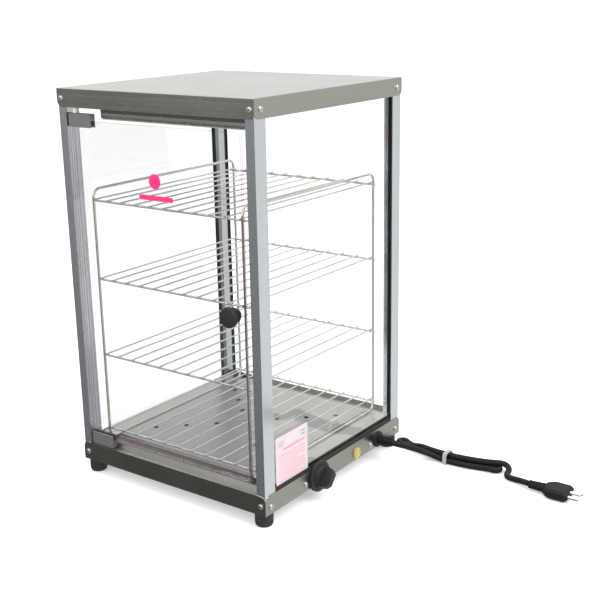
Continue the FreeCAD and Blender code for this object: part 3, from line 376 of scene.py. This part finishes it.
def hank_route():
    """Three runs joined by two folds: two runs side by side and the last one over them."""
    low = (CORD_LOW, CORD_LOW)
    near = strand(NEAR_START, RIGHT_END, (-SIDE_BY_SIDE - 0.1, -SIDE_BY_SIDE), low, 5)
    far = strand(RIGHT_END, LEFT_END, (SIDE_BY_SIDE, SIDE_BY_SIDE), low, 9)
    climb = strand(LEFT_END, CLIMB_END, (-SIDE_BY_SIDE, 0.0), (CORD_LOW, TOP_ROW), 5)
    over = strand(OVER_START, OVER_END, (0.0, 3.0), (TOP_ROW, TOP_ROW), 7)
    right_fold = fold(near[-1], far[0], RIGHT_REACH, 1.0)
    left_fold = fold(far[-1], climb[0], LEFT_REACH, -1.0)
    return near + right_fold + far + left_fold + climb + over


def cord_curve(name, points):
    data = bpy.data.curves.new(name, "CURVE")
    data.dimensions = "3D"
    data.bevel_depth = CORD_D / 2.0 * MM
    data.bevel_resolution = 6
    data.resolution_u = 10
    data.use_fill_caps = True
    line = data.splines.new("NURBS")
    line.points.add(len(points) - 1)
    for point, place in zip(line.points, points):
        point.co = (place[0] * MM, place[1] * MM, place[2] * MM, 1.0)
    line.order_u = 3
    line.use_endpoint_u = True
    obj = bpy.data.objects.new(name, data)
    scene.collection.objects.link(obj)
    data.materials.append(CORD)
    return obj


power_cord = cord_curve("power_cord", START + [tuple(p) for p in hank_route()] + TAIL)
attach(power_cord, "case")
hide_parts("power_cord_start", "cord_hank", "power_cord_tail")


# ---------------------------------------------------------------- mark and label on the glass
def mesh_object(name, bm, finish):
    mesh = bpy.data.meshes.new(name)
    bm.to_mesh(mesh)
    bm.free()
    mesh.materials.append(finish)
    obj = bpy.data.objects.new(name, mesh)
    scene.collection.objects.link(obj)
    return obj


def outline_sheet(bm, outline, normal, thickness):
    """Thin sheet with the given outline, extruded along its normal."""
    low = [bm.verts.new(p) for p in outline]
    high = [bm.verts.new(Vector(p) + normal * thickness) for p in outline]
    count = len(outline)
    bm.faces.new(high)
    bm.faces.new(list(reversed(low)))
    for i in range(count):
        j = (i + 1) % count
        bm.faces.new((low[i], low[j], high[j], high[i]))


def rounded_outline(cx, cz, width, height, radius, plane, steps=6):
    """Corner points of a rounded rectangle; plane turns (across, up) into a place."""
    points = []
    for qx, qz, start in ((1, -1, -90), (1, 1, 0), (-1, 1, 90), (-1, -1, 180)):
        for i in range(steps + 1):
            angle = math.radians(start + 90.0 * i / steps)
            across = cx + qx * (width / 2.0 - radius) + radius * math.cos(angle)
            up = cz + qz * (height / 2.0 - radius) + radius * math.sin(angle)
            points.append(plane(across, up))
    return points


MARK_INK = moulded("mark_ink", (0.72, 0.012, 0.16), 0.4, 500.0, 0.05, 0.05)
LABEL_PAPER = moulded("label_paper", (0.58, 0.50, 0.52), 0.45, 700.0, 0.06, 0.03)
LABEL_PINK = moulded("label_pink", (0.70, 0.28, 0.36), 0.45, 700.0, 0.05, 0.06)
LABEL_GREY = moulded("label_grey", (0.30, 0.30, 0.30), 0.45, 700.0, 0.05, 0.06)


MARK_X, MARK_Z = -2.0, 462.0         # disc, with the bar under it
BAR_X, BAR_Z = -1.0, 439.5
LABEL_Y, LABEL_Z = -109.0, 85.3
LABEL_W, LABEL_H = 74.0, 75.0
LINE_PITCH = 4.6
LINE_W, SHORT_LINE_W = 60.0, 44.0


def door_mark():
    """Plain printed mark: a disc over a bar."""
    face_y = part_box("door_glass")[0][1]
    out = Vector((0, -1, 0))

    def plane(across, up):
        return Vector((across * MM, face_y - 0.05 * MM, up * MM))

    bm = bmesh.new()
    outline_sheet(bm, rounded_outline(MARK_X, MARK_Z, 21.0, 21.0, 10.4, plane), out, 0.2 * MM)
    outline_sheet(bm, rounded_outline(BAR_X, BAR_Z, 62.0, 7.0, 3.4, plane), out, 0.2 * MM)
    bmesh.ops.recalc_face_normals(bm, faces=bm.faces[:])
    return mesh_object("door_mark", bm, MARK_INK)


def rating_label():
    """Plain paper label with printed bars and no lettering."""
    face_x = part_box("side_glass_right")[1][0]
    out = Vector((1, 0, 0))

    def plane(gap):
        return lambda across, up: Vector((face_x + gap * MM, across * MM, up * MM))

    bm = bmesh.new()
    outline_sheet(bm, rounded_outline(LABEL_Y, LABEL_Z, LABEL_W, LABEL_H, 2.0, plane(0.05)), out, 0.15 * MM)
    bmesh.ops.recalc_face_normals(bm, faces=bm.faces[:])
    label = mesh_object("side_label", bm, LABEL_PAPER)
    pink = bmesh.new()

    def bar(bm, across, up, width, height, radius):
        outline = rounded_outline(LABEL_Y + across, LABEL_Z + up, width, height, radius, plane(0.2))
        outline_sheet(bm, outline, out, 0.05 * MM)

    bar(pink, 6.0, 16.5, 50.0, 3.6, 0.8)
    for i in range(9):
        width = LINE_W if i % 4 != 3 else SHORT_LINE_W
        bar(pink, -(LINE_W - width) / 2.0, 8.5 - i * LINE_PITCH, width, 1.5, 0.5)
    bmesh.ops.recalc_face_normals(pink, faces=pink.faces[:])
    lines = mesh_object("side_label_lines", pink, LABEL_PINK)
    grey = bmesh.new()
    for i in range(3):
        bar(grey, -25.0, 29.5 - i * 3.4, 12.0, 1.4, 0.5)
    for i in range(2):
        bar(grey, 27.0, 29.5 - i * 5.0, 9.0, 2.4, 0.6)
    bmesh.ops.recalc_face_normals(grey, faces=grey.faces[:])
    bars = mesh_object("side_label_bars", grey, LABEL_GREY)
    return label, lines, bars


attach(door_mark(), "door")
for piece in rating_label():
    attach(piece, "case")


# ---------------------------------------------------------------- floor, world and lights
FLOOR_GLOW = 0.28


def make_floor():
    """Pale matt floor that the case stands on."""
    bm = bmesh.new()
    bmesh.ops.create_grid(bm, x_segments=2, y_segments=2, size=30.0)
    m, tree, shader, coords = new_material("pale_floor")
    speck = noise(tree, coords.outputs["Object"], 3.0, (1, 1, 1), 2.0, 0.5)
    tree.links.new(mix_colour(tree, speck, (0.90, 0.90, 0.90), (0.93, 0.93, 0.93)),
                   shader.inputs["Base Color"])
    shader.inputs["Roughness"].default_value = 0.9
    shader.inputs["Specular IOR Level"].default_value = 0.1
    shader.inputs["Emission Color"].default_value = (1.0, 1.0, 1.0, 1.0)
    shader.inputs["Emission Strength"].default_value = FLOOR_GLOW
    floor = mesh_object("floor", bm, m)
    floor.location.z = -0.0002
    floor.visible_glossy = False


FRONT_LEFT = (-0.59, -0.81, 0.0)
BACK_LEFT = (-0.59, 0.81, 0.0)


def make_world():
    """Bright studio: white above and behind, darker low down at the front left."""
    world = bpy.data.worlds.new("studio")
    scene.world = world
    world.use_nodes = True
    tree = world.node_tree
    background = tree.nodes["Background"]
    direction = put(tree, "ShaderNodeTexCoord").outputs["Generated"]
    height = put(tree, "ShaderNodeSeparateXYZ", {0: direction}).outputs[2]
    front = put(tree, "ShaderNodeVectorMath", {0: direction, 1: FRONT_LEFT},
                operation="DOT_PRODUCT").outputs["Value"]
    front = ranged(tree, front, -0.05, 0.65, 0.0, 1.0, True)
    low = ranged(tree, height, -0.5, -0.02, 0.0, 1.0)
    dark = mix_colour(tree, low, (0.07, 0.075, 0.07), (0.27, 0.27, 0.25))
    side = mix_colour(tree, low, (0.86, 0.87, 0.80), (0.74, 0.73, 0.69))
    around = mix_colour(tree, front, side, dark)
    above = ranged(tree, height, -0.02, 0.10, 0.0, 1.0, True)
    back = put(tree, "ShaderNodeVectorMath", {0: direction, 1: BACK_LEFT},
               operation="DOT_PRODUCT").outputs["Value"]
    sky = mix_colour(tree, ranged(tree, back, 0.3, 0.9, 0.0, 1.0, True), (1.0, 1.0, 1.02),
                     (1.07, 1.07, 1.07))
    whole = mix_colour(tree, above, around, sky)
    seen = put(tree, "ShaderNodeLightPath").outputs["Is Camera Ray"]
    tree.links.new(mix_colour(tree, seen, whole, (1.0, 1.0, 1.0)), background.inputs["Color"])
    background.inputs["Strength"].default_value = 1.0


# name, place, point it aims at, width and power
LIGHTS = [("key_light", (1.9, 0.3, 1.9), (0.1, 0.0, 0.2), 1.4, 30.0),
          ("fill_light", (-0.6, -1.9, 1.6), (0.0, 0.0, 0.2), 1.6, 14.0),
          ("top_light", (0.0, 0.2, 2.4), (0.0, 0.0, 0.0), 2.4, 26.0)]


def area_light(name, place, target, size, power):
    """Square area light aimed at a point."""
    data = bpy.data.lights.new(name, "AREA")
    data.size = size
    data.energy = power
    obj = bpy.data.objects.new(name, data)
    obj.location = place
    aim = Vector(target) - Vector(place)
    obj.rotation_euler = aim.to_track_quat("-Z", "Y").to_euler()
    scene.collection.objects.link(obj)


make_floor()
make_world()
for light in LIGHTS:
    area_light(*light)
scene.view_settings.view_transform = "Standard"
